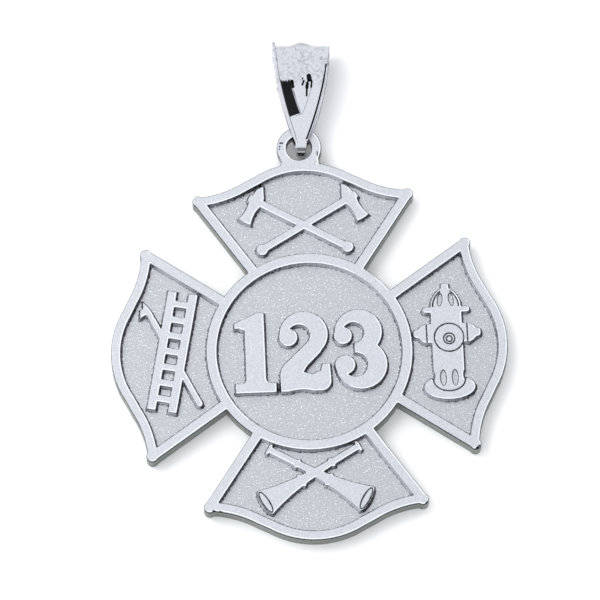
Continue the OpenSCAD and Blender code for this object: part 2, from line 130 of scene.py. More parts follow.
@dataclass(frozen=True)
class Finish:
    """Rhodium-plated silver in one state of its surface.

    The metal is pale with a cold cast. Each state differs in its roughness, in how much the grit of its
    making shows as speckles, and in how deep its pits are. Grain sizes and depths are in millimetres.
    """

    kind: Metal
    colour: str
    dark: str
    roughness: float
    roughness_spread: float
    grain: float
    grain_depth: float
    speck_low: float = 0.35
    speck_high: float = 0.65
    glint: float = 1.0
    painted_light_colour: str = ""
    far_way: tuple[float, float, float] = (0.0, 0.0, 1.0)
    far_facing: bool = False
    far_from: float = 1.5
    far_to: float = 1.3
    swirl: float = 0.0
    swirl_from: float = 18.4

    def material(self) -> bpy.types.Material:
        """Build the finish as a material.

        A fine noise on Object coordinates is the grain. It mixes the two colours, and is the height of the
        pits. A coarser noise drifts the roughness. Where the grain is above the glint level a facet of the
        grit is painted brighter, as a painted glint. A painted light colour takes over along one way, between
        two places in millimetres, or as the surface turns to face that way, between two cosines: it is
        painted light or shade.
        Swirls are thin dull lines where a soft noise passes its middle value, and cloudy patches between.

        Returns:
            The new material.
        """
        made = bpy.data.materials.new(self.kind.value)
        made.use_nodes = True
        tree = made.node_tree
        tree.nodes.clear()
        coordinates = add_node(tree, "ShaderNodeTexCoord")
        place = coordinates.outputs["Object"]
        drift = add_node(tree, "ShaderNodeTexNoise", {"Scale": 1 / (12 * self.grain * MM), "Detail": 2.0},
                         {"Vector": place}).outputs["Fac"]
        grain = add_node(tree, "ShaderNodeTexNoise",
                         {"Scale": 1 / (self.grain * MM), "Detail": 1.0, "Roughness": 0.6},
                         {"Vector": place}).outputs["Fac"]
        share = add_node(tree, "ShaderNodeMapRange",
                         {"From Min": self.speck_low, "From Max": self.speck_high},
                         {"Value": grain}).outputs[0]
        colour = add_node(tree, "ShaderNodeMix",
                          {"data_type": "RGBA", 6: linear(self.dark), 7: linear(self.colour)},
                          {0: share}).outputs[2]
        # Painted highlight: pale flecks as painted glints of the grit, where a second noise passes the glint
        # level
        if self.glint < 1:
            bright = add_node(tree, "ShaderNodeTexNoise", {"Scale": 0.8 / (self.grain * MM), "Detail": 0.0},
                              {"Vector": place}).outputs["Fac"]
            painted_glint = add_node(tree, "ShaderNodeMapRange",
                             {"From Min": self.glint, "From Max": self.glint + 0.06},
                             {"Value": bright}).outputs[0]
            colour = add_node(tree, "ShaderNodeMix", {"data_type": "RGBA", 7: linear("#d2d5da")},
                              {0: painted_glint, 6: colour}).outputs[2]
        # The painted light colour paints light or shade: it takes over along a way, or on faces turned that
        # way
        if self.painted_light_colour:
            source, unit = (coordinates.outputs["Normal"], 1) if self.far_facing else (place, MM)
            along = add_node(tree, "ShaderNodeVectorMath", {"operation": "DOT_PRODUCT", 1: self.far_way},
                             {0: source}).outputs["Value"]
            share = add_node(tree, "ShaderNodeMapRange",
                             {"From Min": self.far_from * unit, "From Max": self.far_to * unit},
                             {"Value": along}).outputs[0]
            colour = add_node(tree, "ShaderNodeMix", {"data_type": "RGBA", 7: linear(self.painted_light_colour)},
                              {0: share, 6: colour}).outputs[2]
        if self.swirl:
            colour = self.swirled(tree, place, colour)
        rough = add_node(tree, "ShaderNodeMapRange",
                         {"From Min": 0.3, "From Max": 0.7,
                          "To Min": self.roughness - self.roughness_spread,
                          "To Max": self.roughness + self.roughness_spread},
                         {"Value": drift}).outputs[0]
        bump = add_node(tree, "ShaderNodeBump", {"Strength": 1.0, "Distance": self.grain_depth * MM},
                        {"Height": grain}).outputs[0]
        shader = add_node(tree, "ShaderNodeBsdfPrincipled", {"Metallic": 1.0},
                          {"Base Color": colour, "Roughness": rough, "Normal": bump})
        add_node(tree, "ShaderNodeOutputMaterial", {}, {"Surface": shader.outputs[0]})
        return made

    def swirled(self, tree: bpy.types.NodeTree, place: bpy.types.NodeSocket,
                colour: bpy.types.NodeSocket) -> bpy.types.NodeSocket:
        """Lay the swirls over a colour.

        A line is where the absolute difference of the noise from one half is under a hundredth or so. The
        swirls come in along Y, over half a millimetre.

        Args:
            tree: Node tree of the material.
            place: Place on the object.
            colour: Colour under the swirls.

        Returns:
            The colour with the swirls.
        """
        noise = add_node(tree, "ShaderNodeTexNoise",
                         {"Scale": 1 / (self.swirl * MM), "Detail": 2.0, "Roughness": 0.45,
                          "Distortion": 0.6},
                         {"Vector": place}).outputs["Fac"]
        off = add_node(tree, "ShaderNodeMath", {"operation": "SUBTRACT", 1: 0.5}, {0: noise})
        size = add_node(tree, "ShaderNodeMath", {"operation": "ABSOLUTE"}, {0: off.outputs[0]})
        line = add_node(tree, "ShaderNodeMapRange",
                        {"From Min": 0.004, "From Max": 0.022, "To Min": 0.85, "To Max": 0.0},
                        {"Value": size.outputs[0]})
        cloud = add_node(tree, "ShaderNodeTexNoise", {"Scale": 3.5 / (self.swirl * MM), "Detail": 1.0},
                         {"Vector": place}).outputs["Fac"]
        patch = add_node(tree, "ShaderNodeMapRange",
                         {"From Min": 0.5, "From Max": 0.72, "To Min": 0.0, "To Max": 0.55}, {"Value": cloud})
        both = add_node(tree, "ShaderNodeMath", {"operation": "MAXIMUM"},
                        {0: line.outputs[0], 1: patch.outputs[0]})
        along = add_node(tree, "ShaderNodeSeparateXYZ", {}, {0: place}).outputs["Y"]
        here = add_node(tree, "ShaderNodeMapRange",
                        {"From Min": self.swirl_from * MM, "From Max": (self.swirl_from + 0.5) * MM},
                        {"Value": along})
        share = add_node(tree, "ShaderNodeMath", {"operation": "MULTIPLY"},
                         {0: both.outputs[0], 1: here.outputs[0]})
        return add_node(tree, "ShaderNodeMix", {"data_type": "RGBA", 7: linear("#94969b")},
                        {0: share.outputs[0], 6: colour}).outputs[2]


FINISHES = {
    # Tops that were rubbed on fine abrasive: bright and even, with soft reflections
    Metal.SATIN: Finish(Metal.SATIN, "#bfc1c7", "#b0b2b7", 0.34, 0.02, 0.12, 0.004),
    # Painted highlight along the edges that face the lower right: brighter than the tops beside them
    Metal.PAINTED_HIGHLIGHT: Finish(Metal.PAINTED_HIGHLIGHT, "#dcdee3", "#d2d4d9", 0.33, 0.02, 0.12, 0.003),
    # Floors that were blasted with grit: greyer, with painted glints as pale speckles. The real grain is
    # near 0.05 mm, and it is drawn at 0.1 mm so that it shows
    Metal.BLASTED: Finish(Metal.BLASTED, "#b8babe", "#9d9ea2", 0.44, 0.03, 0.1, 0.009, 0.36, 0.68, 0.68),
    # Walls as they came from the mould: rough and combed by the draft, and dark, partly as the cast skin
    # and partly as painted shade. Those that face the lower left are painted lighter, as painted light
    Metal.WALL: Finish(Metal.WALL, "#85878b", "#232529", 0.3, 0.06, 0.13, 0.02, 0.42, 0.58,
                       painted_light_colour="#dfe1e6", far_way=(-0.5, -0.87, 0.0), far_facing=True, far_from=0.6,
                       far_to=0.9),
    # Slots cut by a graver, whose walls are dark on all sides: partly the dark skin of the casting, partly
    # painted shade in the slots
    Metal.SLOT: Finish(Metal.SLOT, "#707276", "#1e2023", 0.3, 0.06, 0.13, 0.02, 0.42, 0.58),
    # Outer edge with the dull skin of the casting, under painted shade: nearly black along its rounding
    # and the top of its wall, grading by height to greenish grey under it
    Metal.EDGE: Finish(Metal.EDGE, "#1c2020", "#0c0e0e", 0.36, 0.06, 0.2, 0.008, 0.4, 0.6,
                       painted_light_colour="#7c817b"),
    # Sheet that was polished to a mirror, which shows dark and light of the room as sharp patches. Its upper
    # half has swirls of the wheel, and the top of the fold is painted duller, as painted shade
    Metal.POLISHED: Finish(Metal.POLISHED, "#bfc0c5", "#b7b8bd", 0.07, 0.01, 0.12, 0.0004,
                           painted_light_colour="#a4a6aa", far_way=(0.0, 1.0, 0.0), far_from=22.2, far_to=22.7,
                           swirl=1.1),
}


# Plane shapes


def numbered(shape: int | tuple[int, ...], places: Array, start: int = 0) -> Array:
    """Running numbers at some places of an array, and -1 at the others.

    Args:
        shape: Shape of the array.
        places: Mask or indices of the places.
        start: First number.

    Returns:
        The array.
    """
    numbers = np.full(shape, -1)
    numbers[places] = start + np.arange(len(numbers[places]))
    return numbers


def spread(counts: Array) -> tuple[Array, Array]:
    """Repeat each row by its count: the number of the row, and the place within it."""
    rows = np.repeat(np.arange(len(counts)), counts)
    return rows, np.arange(counts.sum()) - np.repeat(np.cumsum(counts) - counts, counts)


def open_edges(triangles: Array) -> Array:
    """Directed edges of triangles that no other triangle runs back along.

    An edge has the code a * size + b, with a and b its first and last corner, and its twin b * size + a.

    Args:
        triangles: Corner numbers of each triangle.

    Returns:
        First and last corner of each such edge.
    """
    edges = np.concatenate([triangles[:, [0, 1]], triangles[:, [1, 2]], triangles[:, [2, 0]]])
    size = edges.max() + 1
    return edges[~np.isin(edges @ [size, 1], edges @ [1, size])]


def on_circle(angle: Array) -> Array:
    """Points of the unit circle."""
    return np.stack([np.cos(angle), np.sin(angle)], 1)


def from_stroke(x: Array, y: Array, ends: list[float]) -> tuple[Array, Array]:
    """Way to each place from the nearest point of a straight stroke.

    That point is the first end plus t times the stroke's run, with t the share of the place's own run along
    the stroke, kept between 0 and 1.

    Args:
        x: X of the places.
        y: Y of the places.
        ends: X and Y of the first end, then of the last.

    Returns:
        The way along X, and along Y.
    """
    x0, y0, x1, y1 = ends
    run_x, run_y = x1 - x0, y1 - y0
    share = ((x - x0) * run_x + (y - y0) * run_y) / max(run_x ** 2 + run_y ** 2, 1e-9)
    share = np.clip(share, 0, 1)
    return x - x0 - share * run_x, y - y0 - share * run_y


@dataclass(frozen=True)
class Grid:
    """Even grid of points over a rectangle of the XY plane."""

    x0: float
    y0: float
    pitch: float
    nx: int
    ny: int

    @staticmethod
    def around(low: Array, high: Array, pitch: float) -> "Grid":
        """Grid that covers a rectangle.

        Args:
            low: Lowest corner.
            high: Highest corner.
            pitch: Distance between two points.

        Returns:
            The grid, whose last points lie on or past the highest corner.
        """
        nx, ny = (np.ceil((high - low) / pitch).astype(int) + 1).tolist()
        return Grid(float(low[0]), float(low[1]), pitch, nx, ny)

    def axes(self) -> tuple[Array, Array]:
        """X of the columns and Y of the rows."""
        return self.x0 + self.pitch * np.arange(self.nx), self.y0 + self.pitch * np.arange(self.ny)

    def holds(self, at: Array) -> Array:
        """Whether each point lies on the grid."""
        u = (at - [self.x0, self.y0]) / self.pitch
        return (u >= 0).all(1) & (u[:, 0] < self.nx - 1) & (u[:, 1] < self.ny - 1)

    def sample(self, values: Array, at: Array) -> Array:
        """Read values between the grid's points.

        The value is the mean of the four corners of a cell, each weighted by the area opposite to it.

        Args:
            values: One value for each point of the grid, rows first.
            at: Points to read at.

        Returns:
            One value for each point.
        """
        u = (at - [self.x0, self.y0]) / self.pitch
        cell = np.clip(np.floor(u).astype(int), 0, [self.nx - 2, self.ny - 2])
        fx, fy = np.clip(u - cell, 0, 1).T
        i, j = cell.T
        low = values[j, i] * (1 - fx) + values[j, i + 1] * fx
        high = values[j + 1, i] * (1 - fx) + values[j + 1, i + 1] * fx
        return low * (1 - fy) + high * fy


@dataclass(frozen=True)
class Outline:
    """Closed curves in the plane as short directed pieces, with the inside on their left."""

    start: Array
    end: Array

    def distance(self, grid: Grid, reach: float) -> Array:
        """Signed distance to the curves on a grid, positive inside.

        For a piece from a to b, the nearest point to p is a + t (b - a), with t the share of p's run along
        the piece, kept between 0 and 1. The sign comes from how often the curves wind round a point,
        which is a running sum of their crossings along each row.

        Args:
            grid: Points to measure at.
            reach: Distance past which only the sign counts.

        Returns:
            The distance at each point, rows first, cut at the reach.
        """
        xs, ys = grid.axes()
        away = np.full((grid.ny, grid.nx), reach)
        run = self.end - self.start
        low = np.minimum(self.start, self.end) - reach
        high = np.maximum(self.start, self.end) + reach
        tile = max(8, int(round(reach / grid.pitch)))
        for j in range(0, grid.ny, tile):
            y = ys[j:j + tile]
            band = np.flatnonzero((low[:, 1] <= y[-1]) & (high[:, 1] >= y[0]))
            for i in range(0, grid.nx, tile):
                x = xs[i:i + tile]
                near = band[(low[band, 0] <= x[-1]) & (high[band, 0] >= x[0])]
                if not len(near):
                    continue
                px = x[None, :, None] - self.start[near, 0]
                py = y[:, None, None] - self.start[near, 1]
                rx, ry = run[near].T
                share = np.clip((px * rx + py * ry) / (rx * rx + ry * ry), 0, 1)
                gap = np.hypot(px - share * rx, py - share * ry).min(2)
                away[j:j + tile, i:i + tile] = np.minimum(reach, gap)
        return np.where(self.inside(grid), away, -away)

    def inside(self, grid: Grid) -> Array:
        """Whether each point of a grid is inside the curves.

        A piece that crosses a row adds 1 or takes 1 off, by its way, from the crossing on. A point is inside
        where the running sum along its row is above 0.

        Args:
            grid: Points to test.

        Returns:
            The answer for each point, rows first.
        """
        rows = (np.stack([self.start[:, 1], self.end[:, 1]]) - grid.y0) / grid.pitch
        first = np.ceil(rows.min(0)).astype(int)
        count = np.ceil(rows.max(0)).astype(int) - first
        piece, place = spread(count)
        row = first[piece] + place
        share = (row - rows[0, piece]) / (rows[1, piece] - rows[0, piece])
        x = self.start[piece, 0] + share * (self.end[piece, 0] - self.start[piece, 0])
        column = np.clip(np.ceil((x - grid.x0) / grid.pitch).astype(int), 0, grid.nx)
        turns = np.zeros((grid.ny, grid.nx + 1), int)
        held = (row >= 0) & (row < grid.ny)
        way = np.sign(rows[0, piece] - rows[1, piece])[held].astype(int)
        np.add.at(turns, (row[held], column[held]), way)
        return np.cumsum(turns[:, :-1], 1) > 0


def contour(grid: Grid, values: Array, level: float, inset: float = 0.08) -> tuple[Array, Array]:
    """Lines on which gridded values have one level.

    Each grid edge whose ends lie on two sides of the level holds one point, at the share of the edge where
    the level falls, and each cell joins its points in pairs.

    Args:
        grid: Grid of the values.
        values: One value for each point, rows first.
        level: Level of the lines.
        inset: Share of a grid edge that each point stays away from its ends.

    Returns:
        Points, and the pairs of them that are joined.
    """
    above = values > level
    across = above[:, :-1] != above[:, 1:]
    upward = above[:-1] != above[1:]
    row, col = np.nonzero(across)
    t = (level - values[row, col]) / (values[row, col + 1] - values[row, col])
    t = np.clip(t, inset, 1 - inset)
    flat = np.stack([grid.x0 + grid.pitch * (col + t), grid.y0 + grid.pitch * row], 1)
    row, col = np.nonzero(upward)
    t = (level - values[row, col]) / (values[row + 1, col] - values[row, col])
    t = np.clip(t, inset, 1 - inset)
    steep = np.stack([grid.x0 + grid.pitch * col, grid.y0 + grid.pitch * (row + t)], 1)
    ids_across = numbered(across.shape, across)
    ids_upward = numbered(upward.shape, upward, len(flat))
    sides = np.stack([ids_across[:-1], ids_upward[:, 1:], ids_across[1:], ids_upward[:, :-1]], 2)
    crossed = (sides >= 0).sum(2)
    plain = np.sort(sides[crossed == 2], 1)[:, 2:]
    saddle = crossed == 4
    middle = (values[:-1, :-1] + values[1:, :-1] + values[:-1, 1:] + values[1:, 1:]) / 4 > level
    joined = (middle == above[:-1, :-1])[saddle]
    four = sides[saddle]
    pairs = np.concatenate([plain, four[joined][:, [0, 1]], four[joined][:, [2, 3]],
                            four[~joined][:, [0, 3]], four[~joined][:, [2, 1]]])
    return np.concatenate([flat, steep]), pairs


def waves(at: tuple[Array, Array], length: float, seed: int) -> Array:
    """Smooth random waves between about -1 and 1.

    The sum of 24 plane waves of about one length, each with a direction and phase of its own.

    Args:
        at: X and Y, of shapes that broadcast.
        length: Mean wave length.
        seed: Seed of the directions and phases.

    Returns:
        The waves' height at each point.
    """
    rng = np.random.default_rng(seed)
    total = 0.0
    for turn, phase, stretch in rng.uniform(0, 1, (24, 3)):
        k = 2 * math.pi / (length * (0.7 + 0.6 * stretch))
        angle = 2 * math.pi * turn
        along = at[0] * math.cos(angle) + at[1] * math.sin(angle)
        total = total + np.sin(k * along + 2 * math.pi * phase)
    return total / 6


def new_object(name: str, points: Array, faces: Array, normals: Array | None = None,
               materials: list[bpy.types.Material] | None = None,
               material_of: Array | None = None) -> bpy.types.Object:
    """Mesh object at the origin from points in millimetres.

    Args:
        name: Name of the object and its mesh.
        points: Corners, one row each.
        faces: Corner numbers of each face, where a last number of -1 makes a triangle.
        normals: Direction that each corner's light falls by, or none for flat faces.
        materials: Materials of the object.
        material_of: Which of them each face has.

    Returns:
        The new object, linked to the scene.
    """
    mesh = bpy.data.meshes.new(name)
    sizes = (faces >= 0).sum(1)
    corners = faces[faces >= 0]
    mesh.vertices.add(len(points))
    mesh.vertices.foreach_set("co", (points * MM).astype(np.float32).ravel())
    mesh.loops.add(len(corners))
    mesh.loops.foreach_set("vertex_index", corners.astype(np.int32))
    mesh.polygons.add(len(faces))
    mesh.polygons.foreach_set("loop_start", (np.cumsum(sizes) - sizes).astype(np.int32))
    for each in materials or []:
        mesh.materials.append(each)
    if material_of is not None:
        mesh.polygons.foreach_set("material_index", material_of.astype(np.int32))
    mesh.update(calc_edges=True)
    mesh.validate()
    if normals is not None:
        mesh.shade_smooth()
        mesh.normals_split_custom_set_from_vertices(normals.tolist())
    return add_object(name, mesh)


# Cast cross


@dataclass(frozen=True)
class LevelFaces:
    """Level faces of a CAD node, by their height."""

    points: Array
    triangles: Array

    @staticmethod
    def of_node(node: bpy.types.Object) -> "LevelFaces":
        """Take a merged copy of a node's triangles, because a CAD mesh has loose ones.

        Args:
            node: The CAD node's object.

        Returns:
            The copy, in millimetres.
        """
        mesh = node.data
        mesh.calc_loop_triangles()
        co = np.empty(len(mesh.vertices) * 3, np.float32)
        mesh.vertices.foreach_get("co", co)
        tri = np.empty(len(mesh.loop_triangles) * 3, np.int32)
        mesh.loop_triangles.foreach_get("vertices", tri)
        rounded = np.round(co.reshape(-1, 3).astype(float) / MM, 4)
        points, place = np.unique(rounded, axis=0, return_inverse=True)
        return LevelFaces(points, place.ravel()[tri].reshape(-1, 3))

    def outline(self, z: float, up: bool, within: float = 0.003) -> tuple[Array, Array]:
        """Edges round the faces at one height.

        Args:
            z: Height of the faces.
            up: Whether they face upwards.
            within: How far off that height a corner may be.

        Returns:
            Number of the first and of the last corner of each edge, with the faces on its left seen from
            above.
        """
        corners = self.points[self.triangles]
        a, b = corners[:, 1] - corners[:, 0], corners[:, 2] - corners[:, 0]
        area = a[:, 0] * b[:, 1] - a[:, 1] * b[:, 0]
        level = (np.abs(corners[:, :, 2] - z) < within).all(1)
        picked = self.triangles[level & ((area > 0) if up else (area < 0))]
        picked = picked if up else picked[:, ::-1]
        first, last = open_edges(picked).T
        return first, last

    def curves(self, first: Array, last: Array, piece: float, corner: float = 25.0,
               straight: float = 1.25) -> Outline:
        """Turn an outline of chords into smooth curves with sharp corners.

        Each chord becomes a cubic that leaves and arrives along the mean direction of the two chords that
        meet there. At a corner, and beside a long chord, which is a straight side, it takes the direction
        of the chord itself.

        Args:
            first: First corner of each edge.
            last: Last corner of each edge.
            piece: Length of the pieces that the curves are cut in.
            corner: Turn in degrees past which two chords meet in a corner.
            straight: Length past which a chord is a straight side.

        Returns:
            The curves.
        """
        plane = self.points[:, :2]
        following, preceding = numbered(len(plane), first)[last], numbered(len(plane), last)[first]
        run = plane[last] - plane[first]
        length = np.maximum(np.hypot(*run.T), 1e-9)
        way = run / length[:, None]
        whole = straight < length

        def heading(other: Array) -> Array:
            """Direction of each chord at the end that it shares with another.

            Args:
                other: Number of the other chord.

            Returns:
                Unit directions.
            """
            smooth = (way * way[other]).sum(1) > math.cos(math.radians(corner))
            mean = way + way[other]
            mean /= np.maximum(np.hypot(*mean.T), 1e-9)[:, None]
            mean = np.where((whole[other] & smooth)[:, None], way[other], mean)
            return np.where((~smooth | whole)[:, None], way, mean)

        leave, arrive = heading(preceding), heading(following)
        cuts = np.maximum(1, np.ceil(length / piece)).astype(int)
        of, step = spread(cuts)

        def along(t: Array) -> Array:
            """Points of the cubics.

            Args:
                t: Share of the chord's run that each lies at.

            Returns:
                The points.
            """
            t = t[:, None]
            size = length[of][:, None]
            return ((1 + 2 * t) * (1 - t) ** 2 * plane[first][of] + t * (1 - t) ** 2 * size * leave[of]
                    + t * t * (3 - 2 * t) * plane[last][of] + t * t * (t - 1) * size * arrive[of])

        return Outline(along(step / cuts[of]), along((step + 1) / cuts[of]))

    def loops(self, first: Array, last: Array) -> tuple[Array, Array, Array, Array]:
        """Tell the closed loops of an outline apart, and measure them.

        Each loop goes by the lowest number of its edges, which is handed on along it. Its area is half the
        sum of x0 * y1 - y0 * x1 over its edges, and is negative round a hole.

        Args:
            first: First corner of each edge.
            last: Last corner of each edge.

        Returns:
            The loop of each edge, and the area, lowest Y and highest Y of each loop.
        """
        step, label = numbered(len(self.points), first)[last], np.arange(len(first))
        for _ in range(int(math.log2(len(first))) + 2):
            label = np.minimum(label, label[step])
            step = step[step]
        x, y = self.points[:, :2].T
        areas = np.bincount(label, x[first] * y[last] - y[first] * x[last], len(label)) / 2
        lowest, highest = np.full(len(label), np.inf), np.full(len(label), -np.inf)
        np.minimum.at(lowest, label, y[first])
        np.maximum.at(highest, label, y[first])
        return label, areas, lowest, highest


def ease(t: Array, start: float, end: float) -> tuple[Array, Array]:
    """Ramp from 0 to 1 with rounded ends, and its slope.

    The ramp is a parabola for the first share of its run, a straight line, and a parabola for the last.

    Args:
        t: Share of the run.
        start: Share of the run that the first parabola takes.
        end: Share of the run that the last one takes.

    Returns:
        The ramp and its slope at each t.
    """
    t = np.clip(t, 0, 1)
    steep = 1 / (1 - start / 2 - end / 2)
    height = np.where(t < start, steep * t * t / (2 * start), steep * (t - start / 2))
    height = np.where(t > 1 - end, 1 - steep * (1 - t) ** 2 / (2 * end), height)
    slope = np.where(t < start, steep * t / start, np.where(t > 1 - end, steep * (1 - t) / end, steep))
    return height, np.where((t <= 0) | (t >= 1), 0.0, slope)


@dataclass(frozen=True)
class Field:
    """Signed distance to some outlines on a grid, with its slopes along X and Y."""

    grid: Grid
    values: Array
    along_x: Array
    along_y: Array

    @staticmethod
    def of(grid: Grid, values: Array) -> "Field":
        """Field with the slopes between neighbouring points."""
        along_y, along_x = np.gradient(values, grid.pitch)
        return Field(grid, values, along_x, along_y)

    def at(self, places: Array) -> tuple[Array, Array]:
        """Distance and unit slope at each place."""
        slope = np.stack([self.grid.sample(self.along_x, places), self.grid.sample(self.along_y, places)], 1)
        return self.grid.sample(self.values, places), slope

    def line(self, level: float) -> tuple[Array, Array]:
        """Lines at one distance."""
        return contour(self.grid, self.values, level)


def gathered(parts: list[tuple[Array, Array]]) -> tuple[Array, Array]:
    """Several sets of points and their pairs as one set."""
    starts = np.cumsum([0] + [len(points) for points, _ in parts])
    return (np.concatenate([points for points, _ in parts]),
            np.concatenate([pairs + start for start, (_, pairs) in zip(starts, parts)]))


def kept(part: tuple[Array, Array], wanted: Array) -> tuple[Array, Array]:
    """The points of a set that are wanted, with the pairs between them.

    Args:
        part: Points, and the pairs of them that are joined.
        wanted: Whether each point is wanted.

    Returns:
        The points that are left, and their pairs.
    """
    points, pairs = part
    pairs = pairs[wanted[pairs].all(1)]
    used = np.unique(pairs)
    return points[used], numbered(len(points), used)[pairs]


def triangulate(part: tuple[Array, Array]) -> tuple[Array, Array, Array]:
    """Triangles between lines in the plane, inside the outermost of them.

    Args:
        part: Points, and the pairs of them that are joined.

    Returns:
        Corners, triangles, and for each corner the number of the point that it comes from, or -1.
    """
    points, pairs = part
    flat = [Vector(p) for p in points.tolist()]
    corners, _, faces, origin, _, _ = delaunay_2d_cdt(flat, pairs.tolist(), [], 1, 1e-6)
    source = np.array([each[0] if each else -1 for each in origin])
    places = np.array([tuple(c) for c in corners])
    places[source >= 0] = points[source[source >= 0]]
    return places, np.array(faces), source


@dataclass
class CastCross:
    """The cast cross with its ring, arms, ornaments and loop, as one skin."""

    # Heights and depths of the solids, and how far down the loop reaches
    plate: float = 1.6
    field_depth: float = 0.5
    line_depth: float = 0.22
    loop_under: float = 0.59
    loop_reach: float = 4.0
    # Walls round the sunk fields, as runs inside and outside their outline, and their ragged foot
    wall_in: float = 0.05
    wall_out: float = 0.15
    wall_ease: tuple[float, float] = (0.34, 0.4)
    wall_cuts: tuple[float, float, float] = (0.17, 0.34, 0.62)
    level: float = 0.02
    ragged: float = 0.02
    rag_length: float = 0.4
    rag_from: float = 0.03
    rag_run: float = 0.12
    # Engraved lines and slim holes, as they are drawn, and the reach of the loop's hole, its eye
    line_shown: float = 0.14
    line_in: float = 0.045
    line_out: float = 0.02
    line_ease: tuple[float, float] = (0.3, 0.3)
    line_cut: float = 0.3
    slot_in: float = 0.085
    slim_area: float = 0.8
    slim_length: float = 0.9
    eye_gap: float = 0.1
    # Rounding along the outline, and the step up to the loop's back
    edge_round: float = 0.08
    edge_cut: float = 0.3
    edge_from: float = 0.06
    margin: float = 0.008
    step_gap: float = 0.01
    step_run: float = 0.04
    step_sine: float = 0.95
    # Painted highlights beside edges: their width, and the way that the edges they lie by face
    highlight_width: float = 0.1
    highlight_way: tuple[float, float] = (0.8, -0.6)
    highlight_turn: float = 0.1
    # Grids that distances are measured on, and pieces that curves are cut in
    pitch: float = 0.08
    line_pitch: float = 0.035
    piece: float = 0.12
    reach: float = 0.8
    line_reach: float = 0.3
    grid_rim: float = 0.3
    line_rim: float = 0.1
    group_gap: float = 0.15
    # Marks of wear, each a stroke by its ends and half width
    mark_deep: float = 0.08
    mark_dark: float = 0.95
    mark_core: float = 0.35
    mark_gap: float = 0.04
    mark_sides: int = 20
    mark_turn: float = 0.01
    marks: tuple[tuple[float, float, float, float, float], ...] = (
        (9.6, -20.36, 9.9, -20.08, 0.07), (14.2, -15.62, 14.55, -15.3, 0.08),
        (-1.85, 13.7, -1.6, 13.7, 0.06), (-1.86, 13.38, -1.86, 13.38, 0.07),
        (-1.9, 13.13, -1.9, 13.13, 0.06), (1.46, 12.75, 1.48, 12.42, 0.045),
        (-1.74, 11.9, -1.74, 11.9, 0.06), (-9.1, -20.28, -8.9, -20.3, 0.05),
        (-8.5, -20.36, -8.2, -20.48, 0.06), (-7.85, -20.6, -7.45, -20.78, 0.05))
    # Distances that are read from the solids
    edge: Field = field(init=False)
    wall: Field = field(init=False)
    foot: Field = field(init=False)
    lines: list[Field] = field(init=False, default_factory=list)
    eye_at: Array = field(init=False)
    eye_r: float = field(init=False, default=0.0)

    def read(self, node: bpy.types.Object) -> None:
        """Work out the distance fields from the node's level faces.

        Args:
            node: The CAD node that the skin stands for.
        """
        faces = LevelFaces.of_node(node)
        first, last = faces.outline(self.plate, True)
        label, areas, lowest, _ = faces.loops(first, last)
        plane = faces.points[:, :2]
        low, high = plane.min(0), plane.max(0)
        outer = label == np.argmax(areas)
        eye = (areas[label] < 0) & (lowest[label] > high[1] - self.loop_reach)
        ring = plane[first[eye]]
        self.eye_at = (ring.min(0) + ring.max(0)) / 2
        self.eye_r = float(np.hypot(*(ring - self.eye_at).T).max())
        LOG.info("outline of %d edges, eye of the loop of radius %.2f", outer.sum(), self.eye_r)
        shown = outer | eye
        silhouette = faces.curves(first[shown], last[shown], self.piece)
        first, last = faces.outline(self.plate - self.field_depth, True)
        slim = self.slim(faces, first, last)
        sunk = faces.curves(first[~slim], last[~slim], self.piece)
        back = faces.curves(*faces.outline(0.0, False), self.piece)
        grid = Grid.around(low - self.grid_rim, high + self.grid_rim, self.pitch)
        self.edge = Field.of(grid, silhouette.distance(grid, self.reach))
        wall = -sunk.distance(grid, self.reach)
        xs, ys = grid.axes()
        rag = waves((xs[None, :], ys[:, None]), self.rag_length, 5)
        share = np.clip((self.rag_from - wall) / self.rag_run, 0, 1)
        self.wall = Field.of(grid, wall + self.ragged * rag * share)
        self.foot = Field.of(grid, back.distance(grid, self.reach))
        groups = self.engraved(faces, first[slim], last[slim])
        self.lines = [Field.of(fine, cut.distance(fine, self.line_reach)) for fine, cut in groups]

    def slim(self, faces: LevelFaces, first: Array, last: Array) -> Array:
        """Tell which edges go round a slim hole, such as a slot of the hydrant.

        Args:
            faces: Level faces of the cross.
            first: First points of the edges.
            last: Last points of the edges.

        Returns:
            True for each edge of a loop that is small in area and long in Y.
        """
        label, areas, lowest, highest = faces.loops(first, last)
        found = (np.abs(areas) < self.slim_area) & (highest - lowest > self.slim_length)
        LOG.info("slim holes shown as slots: %d", found.sum())
        return found[label]

    def engraved(self, faces: LevelFaces, hole_first: Array, hole_last: Array) -> list[tuple[Grid, Outline]]:
        """Engraved lines and slim holes, in groups whose boxes touch, each with a fine grid round it.

        Args:
            faces: Level faces of the cross.
            hole_first: First points of the slim holes' edges.
            hole_last: Last points of the slim holes' edges.

        Returns:
            Grid and curves of each group.
        """
        first, last = faces.outline(self.plate - self.line_depth, True)
        first, last = np.concatenate([first, hole_first]), np.concatenate([last, hole_last])
        label = faces.loops(first, last)[0]
        boxes = []
        for each in np.unique(label):
            ring = faces.points[first[label == each], :2]
            box = [ring.min(0) - self.group_gap, ring.max(0) + self.group_gap, {int(each)}]
            apart = []
            for other in boxes:
                if (box[0] < other[1]).all() and (other[0] < box[1]).all():
                    box = [np.minimum(box[0], other[0]), np.maximum(box[1], other[1]), box[2] | other[2]]
                else:
                    apart.append(other)
            boxes = apart + [box]
        groups = []
        for low, high, members in boxes:
            held = np.isin(label, list(members))
            cut = faces.curves(first[held], last[held], self.piece / 2)
            groups.append((Grid.around(low - self.line_rim, high + self.line_rim, self.line_pitch), cut))
        LOG.info("engraved lines in %d groups", len(groups))
        return groups

